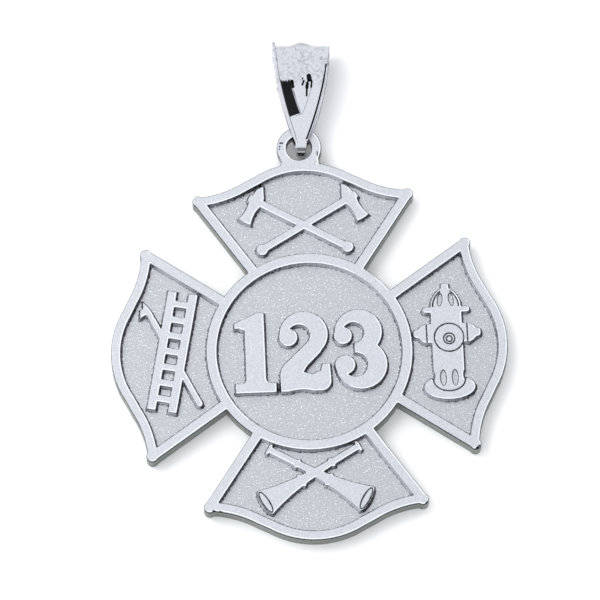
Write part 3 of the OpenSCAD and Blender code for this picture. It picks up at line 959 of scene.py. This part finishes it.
    def mark_lines(self) -> list[tuple[Array, Array]]:
        """Two closed lines round each mark that is clear of the outline, at its edge and near its bottom.

        A point of the line at a distance r from a stroke is the stroke's nearer end plus r along the
        point's own direction, which runs round the full circle in even steps. Marks at the outline only
        dent the corners that are there.

        Returns:
            Points and pairs of each line.
        """
        found = []
        for x0, y0, x1, y1, r in self.marks:
            if self.edge.at(np.array([[x0, y0], [x1, y1]]))[0].min() < r + self.mark_gap:
                LOG.info("mark at %.2f %.2f is at the outline and gets no lines", x0, y0)
                continue
            axis = math.atan2(y1 - y0, x1 - x0)
            turn = axis - math.pi / 2 + np.linspace(0, 2 * math.pi, self.mark_sides, endpoint=False)
            turn += self.mark_turn
            ahead = np.cos(turn - axis) > 0
            base = np.where(ahead[:, None], [x1, y1], [x0, y0])
            ring = np.arange(self.mark_sides)
            pairs = np.stack([ring, np.roll(ring, -1)], 1)
            found += [(base + size * on_circle(turn), pairs)
                      for size in (r + self.margin, self.mark_core * r)]
        return found

    def rounding(self, distance: Array) -> tuple[Array, Array]:
        """Quarter circle along an edge.

        With q the share of the radius that is left at a distance from the edge, the surface has dropped by
        1 - sqrt(1 - q * q) radii, and the sine of its lean is q.

        Args:
            distance: Distance from the edge.

        Returns:
            The drop, and the sine of the lean.
        """
        q = np.clip(1 - distance / self.edge_round, 0, 1)
        return self.edge_round * (1 - np.sqrt(1 - q * q)), q

    def front(self, at: Array) -> tuple[Array, Array, Array]:
        """Height, normal and finish of the front at each place.

        The front has dropped from the plate's face by the largest of three: the rounding along the outline,
        the drafted wall down to a sunk field, and an engraved line or slot. Marks of wear are cones and
        V grooves on top of that. Level metal beside an edge gets a painted highlight where the edge faces the
        highlight's way.

        Args:
            at: Places in the plane.

        Returns:
            Heights, unit normals, and the number of the finish.
        """
        wall, wall_way = self.wall.at(at)
        run = self.wall_in + self.wall_out
        down, steep = ease((self.wall_in - wall) / run, *self.wall_ease)
        drop = self.field_depth * down
        lean = wall_way * (-self.field_depth * steep / run)[:, None]
        kind = np.where(down <= self.level, SATIN, np.where(down >= 1 - self.level, BLASTED, WALL))
        for line in self.lines:
            inside = line.grid.holds(at)
            cut, cut_way = line.at(at)
            deep, steep = ease((cut + self.line_out) / (self.line_out + self.line_in), *self.line_ease)
            deep = np.where(inside, self.line_shown * deep, 0)
            more = deep > drop
            slope = self.line_shown * steep / (self.line_out + self.line_in)
            lean = np.where(more[:, None], cut_way * slope[:, None], lean)
            cut_kind = np.where(cut > self.slot_in, BLASTED, SLOT)
            kind = np.where(more & (deep > self.line_cut * self.line_shown), cut_kind, kind)
            drop = np.maximum(drop, deep)
        for *ends, r in self.marks:
            away = np.stack(from_stroke(at[:, 0], at[:, 1], ends), 1)
            size = np.maximum(np.hypot(*away.T), 1e-9)
            cut = size < r
            drop = drop + np.where(cut, self.mark_deep * (1 - size / r), 0)
            lean = np.where(cut[:, None], -away / size[:, None] * self.mark_deep / r, lean)
            kind = np.where(size < self.mark_dark * r, EDGE, kind)
        normal = np.concatenate([lean, np.ones((len(at), 1))], 1)
        normal /= np.linalg.norm(normal, axis=1)[:, None]
        edge, edge_way = self.edge.at(at)
        fall, sine = self.rounding(edge)
        rim = np.concatenate([-edge_way * sine[:, None], np.sqrt(1 - sine * sine)[:, None]], 1)
        normal = np.where((fall > drop)[:, None], rim, normal)
        # The rounding along the outline takes the outer edge's finish, which paints shade on it
        kind = np.where(fall > self.edge_from * self.edge_round, EDGE, kind)
        # Painted highlight: level metal beside walls and edges that face the highlight's way
        highlight_by_wall = (wall > self.wall_in) & (wall < self.wall_in + self.highlight_width)
        highlight_by_wall &= wall_way @ self.highlight_way < -self.highlight_turn
        highlight_by_edge = edge < self.edge_round + self.highlight_width
        highlight_by_edge &= edge_way @ self.highlight_way < -self.highlight_turn
        kind = np.where((kind == SATIN) & (highlight_by_wall | highlight_by_edge), PAINTED_HIGHLIGHT, kind)
        return self.plate - np.maximum(drop, fall), normal, kind

    def rear(self, at: Array) -> tuple[Array, Array]:
        """Height and normal of the back at each place.

        The back lies on the floor and is rounded along its outline, and the loop's back is a step higher.

        Args:
            at: Places in the plane.

        Returns:
            Heights and unit normals.
        """
        foot, foot_way = self.foot.at(at)
        edge, edge_way = self.edge.at(at)
        step = np.clip((-foot - self.step_gap) / self.step_run, 0, 1)
        low, low_sine = self.rounding(np.maximum(foot, 0))
        high, high_sine = self.rounding(edge)
        height = low * (1 - step) + (self.loop_under + high) * step
        way = np.where(step[:, None] > 0.5, edge_way, foot_way)
        sine = np.where(step > 0.5, high_sine, low_sine)
        sine = np.where((step > 0) & (step < 1), self.step_sine, sine)
        return height, np.concatenate([-way * sine[:, None], -np.sqrt(1 - sine * sine)[:, None]], 1)

    def front_lines(self) -> list[tuple[Array, Array]]:
        """Lines that the front's triangles keep to: first the outline, then where the slope changes.

        Returns:
            Points and pairs of each line.
        """
        run = self.wall_in + self.wall_out
        levels = (0.0, self.edge_cut * self.edge_round, self.edge_round + self.margin,
                  self.edge_round + self.highlight_width)
        shares = (-self.highlight_width / run, -self.margin / run, *self.wall_cuts, 1 + self.margin / run)
        cuts = (-self.line_out - self.margin / 2, self.line_cut * self.line_in,
                self.line_in + self.margin / 2, self.slot_in)
        return ([self.edge.line(level) for level in levels]
                + [self.wall.line(self.wall_in - t * run) for t in shares]
                + [line.line(level) for line in self.lines for level in cuts] + self.mark_lines())

    def rear_lines(self) -> list[tuple[Array, Array]]:
        """Lines that the back's triangles keep to: first the outline, then its rounding and the step.

        Returns:
            Points and pairs of each line.
        """
        rounding = (self.edge_cut * self.edge_round, self.edge_round + self.margin)
        parts = [self.edge.line(0.0)] + [self.foot.line(level) for level in rounding]
        for level in (-self.step_gap, -self.step_gap - self.step_run):
            points, pairs = self.foot.line(level)
            parts.append(kept((points, pairs), self.edge.at(points)[0] > rounding[0]))
        for level in rounding:
            points, pairs = self.edge.line(level)
            clear = self.foot.at(points)[0] < -2 * self.step_gap - self.step_run
            parts.append(kept((points, pairs), clear))
        return parts

    def skin(self, materials: list[bpy.types.Material]) -> bpy.types.Object:
        """Mesh the front and the back between lines of equal distance, and join them along the outline.

        Args:
            materials: Finishes of the top, fields, walls, outer edge, painted highlights by edges, and slots.

        Returns:
            The new object.
        """
        rim = self.edge.line(0.0)[0]
        eye = np.hypot(*(rim - self.eye_at).T) < self.eye_r + self.eye_gap
        blocks = []
        for lines in (self.front_lines(), self.rear_lines()):
            places, faces, source = triangulate(gathered(lines))
            on_eye = (source >= 0) & (source < len(rim))
            on_eye[on_eye] = eye[source[on_eye]]
            blocks.append((places, faces[~on_eye[faces].all(1)], source))
        (top_at, top_faces, top_source), (low_at, low_faces, low_source) = blocks
        z, top_normal, kind = self.front(top_at)
        low_z, low_normal = self.rear(low_at)
        points = np.concatenate([np.column_stack([top_at, z]), np.column_stack([low_at, low_z])])
        normals = np.concatenate([top_normal, low_normal])
        size = len(top_at)
        border = open_edges(top_faces)
        twin = np.full(len(rim), -1)
        on_rim = (low_source >= 0) & (low_source < len(rim))
        twin[low_source[on_rim]] = np.flatnonzero(on_rim) + size
        sides = np.hstack([border[:, ::-1], twin[top_source[border]]])
        pad = np.full((len(top_faces), 1), -1)
        pad_low = np.full((len(low_faces), 1), -1)
        faces = np.concatenate([np.hstack([top_faces, pad]),
                                np.hstack([low_faces[:, ::-1] + size, pad_low]), sides])
        middle = top_at[top_faces].mean(1)
        finish = np.concatenate([self.front(middle)[2], np.full(len(low_faces) + len(sides), EDGE)])
        LOG.info("skin of the cross: %d corners, %d triangles", len(points), len(faces) + len(sides))
        return new_object("cross_skin", points, faces, normals, materials, finish)


# Folded bail


def blend(t: Array) -> Array:
    """Smooth ramp 3 t^2 - 2 t^3 from 0 to 1."""
    t = np.clip(t, 0, 1)
    return t * t * (3 - 2 * t)


@dataclass
class FoldedBail:
    """Strip of polished sheet, folded over at the top and closed through the loop."""

    # Middle of the loop's hole, the bail's turn in degrees, and its sizes
    middle: tuple[float, float] = (0.05, 13.17187)
    turn: float = -2.3
    length: float = 10.7
    width: float = 5.2
    neck: float = 1.0
    wall: float = 0.42
    fold_r: float = 1.8
    neck_r: float = 1.095
    neck_y: float = 0.435
    # Raised borders and rounded sides
    border_left: float = 0.27
    border_right: float = 0.04
    border_high: float = 0.09
    border_run: float = 0.05
    edge_round: float = 0.07
    # Raised tongue, which is lower than the borders and fades above the facet
    tongue_tip: float = 2.85
    tongue_run: float = 2.5
    tongue_half: float = 0.9
    tongue_side: float = 0.08
    tongue_high: float = 0.7
    tongue_step: float = 0.03
    tongue_fade: float = 0.6
    tongue_lead: float = 0.1
    # Facet left of the tongue, whose lower end slants, and bevel along the right border
    facet_lead: float = 0.25
    facet_slant: float = 0.36
    facet_left: float = 0.6
    facet_run: float = 0.15
    facet_end: float = 5.85
    facet_wave: float = 0.05
    facet_stop: float = 0.08
    tilt: float = 9.5
    bevel: float = 0.17
    bevel_start: float = 0.1
    bevel_end: float = 7.4
    bevel_run: float = 0.3
    # Hollow of the fold, and soft waves of the sheet
    fold_deep: float = 0.3
    fold_lead: float = 0.5
    fold_run: float = 1.2
    wave_deep: float = 0.014
    wave_length: float = 0.8
    wave_wide: float = 0.6
    wave_run: float = 0.6
    # Steps along the path, and where the relief comes in on the leg and goes out round the fold
    leg_steps: int = 212
    fold_steps: int = 64
    bend_steps: int = 48
    relief_from: float = 0.1
    relief_run: float = 0.6
    relief_turn: float = 65.0
    relief_swing: float = 55.0
    # Nicks, each a stroke by its ends and half width
    nick_deep: float = 0.02
    nick_dark: float = 0.03
    nicks: tuple[tuple[float, float, float, float, float], ...] = (
        (-0.8, 5.8, -0.73, 5.3, 0.13), (0.12, 5.47, 0.24, 5.82, 0.075), (0.13, 6.04, 0.14, 6.06, 0.07),
        (0.7, 6.28, 0.74, 5.98, 0.21), (0.62, 5.78, 0.95, 5.88, 0.06),
        (0.96, 5.85, 0.92, 5.28, 0.07), (0.56, 5.62, 0.53, 5.2, 0.13), (0.53, 5.2, 0.5, 4.5, 0.075))

    @property
    def fold_y(self) -> float:
        """Place of the top fold's middle along the bail."""
        return self.neck_y - self.neck_r + self.length - self.fold_r

    def half_width(self, y: Array) -> Array:
        """Half width of the strip at a place along the bail.

        It grows from the neck as the 0.9th power of a sine, and the end in the loop is half an ellipse.

        Args:
            y: Places along the bail.

        Returns:
            The half width at each.
        """
        start = self.neck_y - self.neck / 8
        share = np.clip((y - start) / (self.fold_y + self.fold_r - start), 0, 1)
        taper = self.neck / 2 + (self.width - self.neck) / 2 * np.sin(math.pi / 2 * share) ** 0.9
        end_l = 0.75 * self.neck
        end_y = self.neck_y - self.neck_r + 0.88 * end_l
        out = np.clip((end_y - y) / end_l, 0, 1)
        return np.where(y < end_y, self.neck / 2 * np.sqrt(1 - out * out), taper)

    def path(self) -> tuple[Array, Array, Array]:
        """Closed path of the strip's outer face, seen from the side.

        It runs up the front leg, round the top fold, down the back on the floor, and round the bend in the
        loop. The leg touches both rounds, so it leans by the angle whose half has the sine of the
        difference of their radii over the distance of their upper ends.

        Returns:
            Points along and above the floor, outward normals, and how much of the front's relief each has.
        """
        fold_y = self.fold_y
        rise = self.fold_r - self.neck_r
        lean = 2 * math.asin(rise / math.hypot(fold_y - self.neck_y, rise))
        upper = math.pi / 2 + lean
        angle = np.linspace(upper, -math.pi / 2, self.fold_steps)
        fold, bend = on_circle(angle), on_circle(np.linspace(1.5 * math.pi, upper, self.bend_steps))
        fold_at = [fold_y, self.fold_r] + self.fold_r * fold
        bend_at = [self.neck_y, self.neck_r] + self.neck_r * bend
        share = np.linspace(0, 1, self.leg_steps)[1:-1, None]
        leg_at = bend_at[-1] + share * (fold_at[0] - bend_at[-1])
        back_at = fold_at[-1] + share[::8] * (bend_at[0] - fold_at[-1])
        points = np.concatenate([leg_at, fold_at, back_at, bend_at])
        normals = np.concatenate([np.repeat(fold[:1], len(leg_at), 0), fold,
                                  np.repeat([[0.0, -1.0]], len(back_at), 0), bend])
        relief = np.concatenate([blend((leg_at[:, 0] - self.relief_from) / self.relief_run),
                                 blend((np.degrees(angle) + self.relief_turn) / self.relief_swing),
                                 np.zeros(len(back_at) + len(bend_at))])
        return points, normals, relief

    def borders(self, half: Array) -> tuple[Array, Array]:
        """Width of the left and of the right border."""
        return np.minimum(self.border_left, 0.3 * half), np.minimum(self.border_right, 0.2 * half)

    def bevel_width(self, half: Array) -> Array:
        """Width of the bevel."""
        return np.minimum(self.bevel, 0.3 * half)

    def tongue(self, y: Array, half: Array) -> Array:
        """Half width of the raised tongue, which grows from its tip as the 0.8th power."""
        wide = self.tongue_half * np.clip((y - self.tongue_tip) / self.tongue_run, 0, 1) ** 0.8
        return np.clip(wide, 0.02 * half, 0.5 * half)

    def depth(self, x: Array, y: Array, half: Array, relief: Array) -> Array:
        """Depth of the outer face below its path.

        The border along each side is level, and the face inside it lies a step lower. The left facet falls
        at one slope towards the tongue, and so does a narrow bevel towards the right border. Nicks that the
        polishing left are V grooves. On the fold the face is hollow on both sides of its middle, with soft
        waves.

        Args:
            x: Places across.
            y: Places along.
            half: Half width of the strip at each.
            relief: How much of the relief each has.

        Returns:
            The depth at each place.
        """
        left, right = self.borders(half)
        inside = blend((half - np.abs(x) - np.where(x > 0, right, left)) / self.border_run)
        tongue = self.tongue(y, half)
        end = self.facet_end + self.facet_wave * waves((x, 0 * y), 0.3, 4)
        slant = self.facet_slant * (x + self.facet_left)
        facets = blend((y - self.tongue_tip + self.facet_lead - slant) / self.facet_run)
        facets = facets * (1 - blend((y - end) / self.facet_stop))
        total = inside * self.border_high
        off = x - self.tongue_side
        faded = blend((y - self.facet_end + self.tongue_lead) / self.tongue_fade)
        raised = (y > self.tongue_tip) * (1 - faded) * self.tongue_high * self.border_high
        total = total - raised * blend((tongue - np.abs(off)) / self.tongue_step)
        tilt = math.tan(math.radians(self.tilt))
        slope = np.clip(x + half - left - self.border_run, 0, None) * tilt
        total = total + facets * inside * slope * blend((-tongue - off) / self.tongue_step)
        bevel = self.bevel_width(half)
        along = blend((y - self.bevel_start) / self.bevel_run)
        along = along * (1 - blend((y - self.bevel_end) / self.bevel_run))
        start = half - right - self.border_run - bevel
        total = total + along * inside * np.clip(x - start, 0, bevel) * tilt
        total = total + self.nick_deep * self.nicked(x, y)
        on_fold = blend((y - self.fold_y - self.fold_lead) / self.fold_run)
        total = total + on_fold * self.fold_deep * inside * blend(np.abs(x) / (0.5 * half))
        above = blend((y - self.facet_end) / self.wave_run)
        wave = self.wave_deep * waves((self.wave_wide * x, y), self.wave_length, 3)
        total = total + above * inside * wave
        return relief * total

    def nicked(self, x: Array, y: Array) -> Array:
        """How deep in a nick each place is, from 0 outside to 1 along its stroke.

        It is 1 less the distance to the nearest stroke over the stroke's half width.

        Args:
            x: Places across.
            y: Places along.

        Returns:
            The depth as a share, at each place.
        """
        deepest = np.zeros(np.broadcast(x, y).shape)
        for *ends, r in self.nicks:
            deepest = np.maximum(deepest, 1 - np.hypot(*from_stroke(x, y, ends)) / r)
        return deepest

    def section(self, y: Array, relief: Array, half: Array) -> tuple[Array, Array]:
        """Section across the strip at each place of the path, as one closed run of stations.

        The stations of the outer face lie closer beside the steps of its relief. Both side edges are
        quarter circles, and the inner face is flat.

        Args:
            y: Places along the bail.
            relief: How much of the front's relief each has.
            half: Half width at each.

        Returns:
            Place across and depth below the outer face, for each place and station.
        """
        y, relief, half = y[:, None], relief[:, None], half[:, None]
        round_r = np.minimum(self.edge_round, 0.2 * half)
        border_l, border_r = self.borders(half)
        foot_l, foot = half - border_l - self.border_run, half - border_r - self.border_run
        tongue = self.tongue(y, half)
        bevel = self.bevel_width(half)
        left, right = self.tongue_side - tongue, self.tongue_side + tongue
        even = np.linspace(0, 1, 44)[None, 1:-1]
        step = np.linspace(0, 1, 4)[None]
        fine = np.minimum(self.tongue_step, 0.2 * tongue)
        inner_right = np.maximum(foot - bevel, right + 2 * fine)
        across = np.concatenate([
            -half + border_l + self.border_run * step,
            -foot_l + even * (left - fine + foot_l), left - fine, left,
            left + fine + even * (right - left - 2 * fine), right - fine, right, right + fine,
            right + fine + even * (inner_right - right - fine), inner_right,
            inner_right + np.array([[0.3, 0.6, 0.9]]) * (foot - inner_right),
            half - border_r - self.border_run * (1 - step)], 1)
        across = np.sort(across, 1)
        arc = np.linspace(0, math.pi / 2, 5)[None]
        curve_x, curve_d = half - round_r * (1 - np.cos(arc)), round_r * (1 - np.sin(arc))
        across = np.concatenate([-curve_x, across, curve_x[:, ::-1]], 1)
        rounded = np.concatenate([curve_d, 0 * across[:, 10:], curve_d[:, ::-1]], 1)
        outer = rounded + self.depth(across, y, half, relief)
        inner_x = np.concatenate([curve_x, half * np.array([[0.6, 0.2]])], 1)
        inner_d = np.concatenate([self.wall - curve_d, self.wall + 0 * half * np.array([[1, 1]])], 1)
        return (np.concatenate([across, inner_x, -inner_x[:, ::-1]], 1),
                np.concatenate([outer, inner_d, inner_d[:, ::-1]], 1))

    def strip(self, materials: list[bpy.types.Material]) -> bpy.types.Object:
        """Carry the section along the path.

        A point is the path's point moved in by its depth along the normal and out by its place across, all
        turned by the bail's turn and moved to the loop.

        Args:
            materials: Finishes of the strip and of its nicks, which kept their dark skin.

        Returns:
            The new object.
        """
        points, normals, relief = self.path()
        y = points[:, 0]
        across, depth = self.section(y, relief, self.half_width(y))
        side = points[:, None, :] - depth[:, :, None] * normals[:, None, :]
        c, s = math.cos(math.radians(self.turn)), math.sin(math.radians(self.turn))
        x = self.middle[0] + across * c - side[:, :, 0] * s
        along = self.middle[1] + across * s + side[:, :, 0] * c
        grid = np.stack([x, along, side[:, :, 1]], 2)
        rows, columns = grid.shape[:2]
        i, j = np.meshgrid(np.arange(rows), np.arange(columns), indexing="ij")
        ahead, beside = (i + 1) % rows, (j + 1) % columns
        faces = np.stack([i * columns + j, i * columns + beside, ahead * columns + beside,
                          ahead * columns + j], 2).reshape(-1, 4)
        corners = grid.reshape(-1, 3)
        a, b, d = (corners[faces[:, k]] for k in (0, 1, 3))
        if (np.cross(b - a, d - a) * a).sum() < 0:
            faces = faces[:, ::-1]
        front = relief[:, None] * self.nicked(across, y[:, None] + 0 * across)
        outer = (np.abs(depth) < 0.9 * self.wall).ravel()[faces].all(1)
        dark = (front.ravel()[faces].mean(1) > self.nick_dark) & outer
        LOG.info("strip of the bail: %d faces", len(faces))
        made = new_object("bail_strip", corners, faces, None, materials, dark.astype(int))
        made.data.shade_smooth()
        made.data.set_sharp_from_angle(angle=math.radians(24))
        return made


@dataclass
class Studio:
    """Pale floor, soft light and the camera."""

    turn: tuple[float, float, float] = (-0.322656, 0.015901, 0.038906)
    shift: tuple[float, float, float] = (0.798186, -4.264579, -442.023839)
    middle: tuple[float, float, float] = (0.0, -5.75813, 1.6)
    lens: float = 300.0
    sensor: float = 36.0
    pixels: int = 600
    floor_half: float = 900.0
    patches: tuple[tuple[tuple[float, float, float], float, float, float], ...] = (
        ((0.71, 0.07, 0.7), 0.89, 0.955, 0.02), ((0.0, -0.88, 0.47), 0.9, 0.965, 0.25),
        ((0.322, 0.03, 0.946), 0.986, 0.9945, 0.02), ((0.322, -0.1, 0.94), 0.986, 0.9945, 0.02))
    sky_strength: float = 1.5
    key_at: tuple[float, float, float] = (-364.0, 210.0, 483.0)
    key_size: float = 360.0
    key_power: float = 1.4

    def camera(self) -> None:
        """Stand the camera where it was fitted to the photograph.

        A point p is seen at R (p - m) + s, with R the three turns about the fixed axes, m the middle of
        the cross and s the shift. So the camera stands at m - R's transpose times s, turned by R's
        transpose.
        """
        rx, ry, rz = self.turn
        turn = Matrix.Rotation(rz, 3, "Z") @ Matrix.Rotation(ry, 3, "Y") @ Matrix.Rotation(rx, 3, "X")
        place = Vector(self.middle) - turn.transposed() @ Vector(self.shift)
        data = bpy.data.cameras.new("camera")
        data.lens = self.lens
        data.sensor_width = self.sensor
        data.clip_start = 0.01
        data.clip_end = 10.0
        data.shift_x = -0.5 / self.pixels
        data.shift_y = 0.5 / self.pixels
        made = add_object("camera", data)
        made.matrix_world = Matrix.Translation(place * MM) @ turn.transposed().to_4x4()
        bpy.context.scene.camera = made

    def floor(self) -> None:
        """Lay a wide pale floor under the pendant."""
        corners = self.floor_half * np.array([[-1.0, -1, 0], [1, -1, 0], [1, 1, 0], [-1, 1, 0]])
        made = new_object("floor", corners, np.array([[0, 1, 2, 3]]))
        paper = bpy.data.materials.new("white paper")
        paper.use_nodes = True
        shader = paper.node_tree.nodes["Principled BSDF"]
        shader.inputs["Base Color"].default_value = linear("#f8f8f8")
        shader.inputs["Roughness"].default_value = 0.9
        made.data.materials.append(paper)

    def key(self) -> None:
        """Hang one soft square light that faces the pendant."""
        data = bpy.data.lights.new("key", "AREA")
        data.shape = "SQUARE"
        data.size = self.key_size * MM
        data.energy = self.key_power
        made = add_object("key", data)
        place = Vector(self.key_at)
        made.location = place * MM
        made.rotation_euler = (-place).to_track_quat("-Z", "Y").to_euler()

    def sky(self) -> None:
        """Light the scene by an even white tent with dark cards.

        A large card stands to the right, a low one in front, and two small ones where the bail mirrors them.
        Each patch multiplies the light by a factor that comes in by a smooth ramp of the cosine between a
        direction and its middle.
        """
        world = bpy.data.worlds.new("studio")
        world.use_nodes = True
        tree = world.node_tree
        tree.nodes.clear()
        way = add_node(tree, "ShaderNodeTexCoord").outputs["Generated"]
        strength = add_node(tree, "ShaderNodeValue").outputs[0]
        strength.default_value = self.sky_strength
        for middle, outer, inner, dim in self.patches:
            near = add_node(tree, "ShaderNodeVectorMath",
                            {"operation": "DOT_PRODUCT", 1: Vector(middle).normalized()}, {0: way})
            share = add_node(tree, "ShaderNodeMapRange",
                             {"From Min": outer, "From Max": inner, "To Min": 1.0, "To Max": dim,
                              "interpolation_type": "SMOOTHSTEP"}, {"Value": near.outputs["Value"]})
            strength = add_node(tree, "ShaderNodeMath", {"operation": "MULTIPLY"},
                                {0: strength, 1: share.outputs[0]}).outputs[0]
        back = add_node(tree, "ShaderNodeBackground", {"Color": linear("#fafcff")}, {"Strength": strength})
        add_node(tree, "ShaderNodeOutputWorld", {}, {"Surface": back.outputs[0]})
        bpy.context.scene.world = world

    def build(self) -> None:
        """Build the studio."""
        self.camera()
        self.floor()
        self.sky()
        self.key()
        bpy.context.scene.view_settings.view_transform = "Standard"


def main() -> None:
    """Build the pendant and its studio."""
    logging.basicConfig(level=logging.INFO, format="%(name)s: %(message)s")
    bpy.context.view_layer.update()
    Studio().build()
    cross = CastCross()
    cross.read(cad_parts["badge_cross"])
    materials = [FINISHES[kind].material() for kind in ON_CROSS]
    skin = cross.skin(materials)
    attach(skin, "root")
    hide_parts("badge_cross")
    strip = FoldedBail().strip([FINISHES[Metal.POLISHED].material(), materials[EDGE]])
    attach(strip, "root")
    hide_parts("bail")


if __name__ == "__main__":
    main()
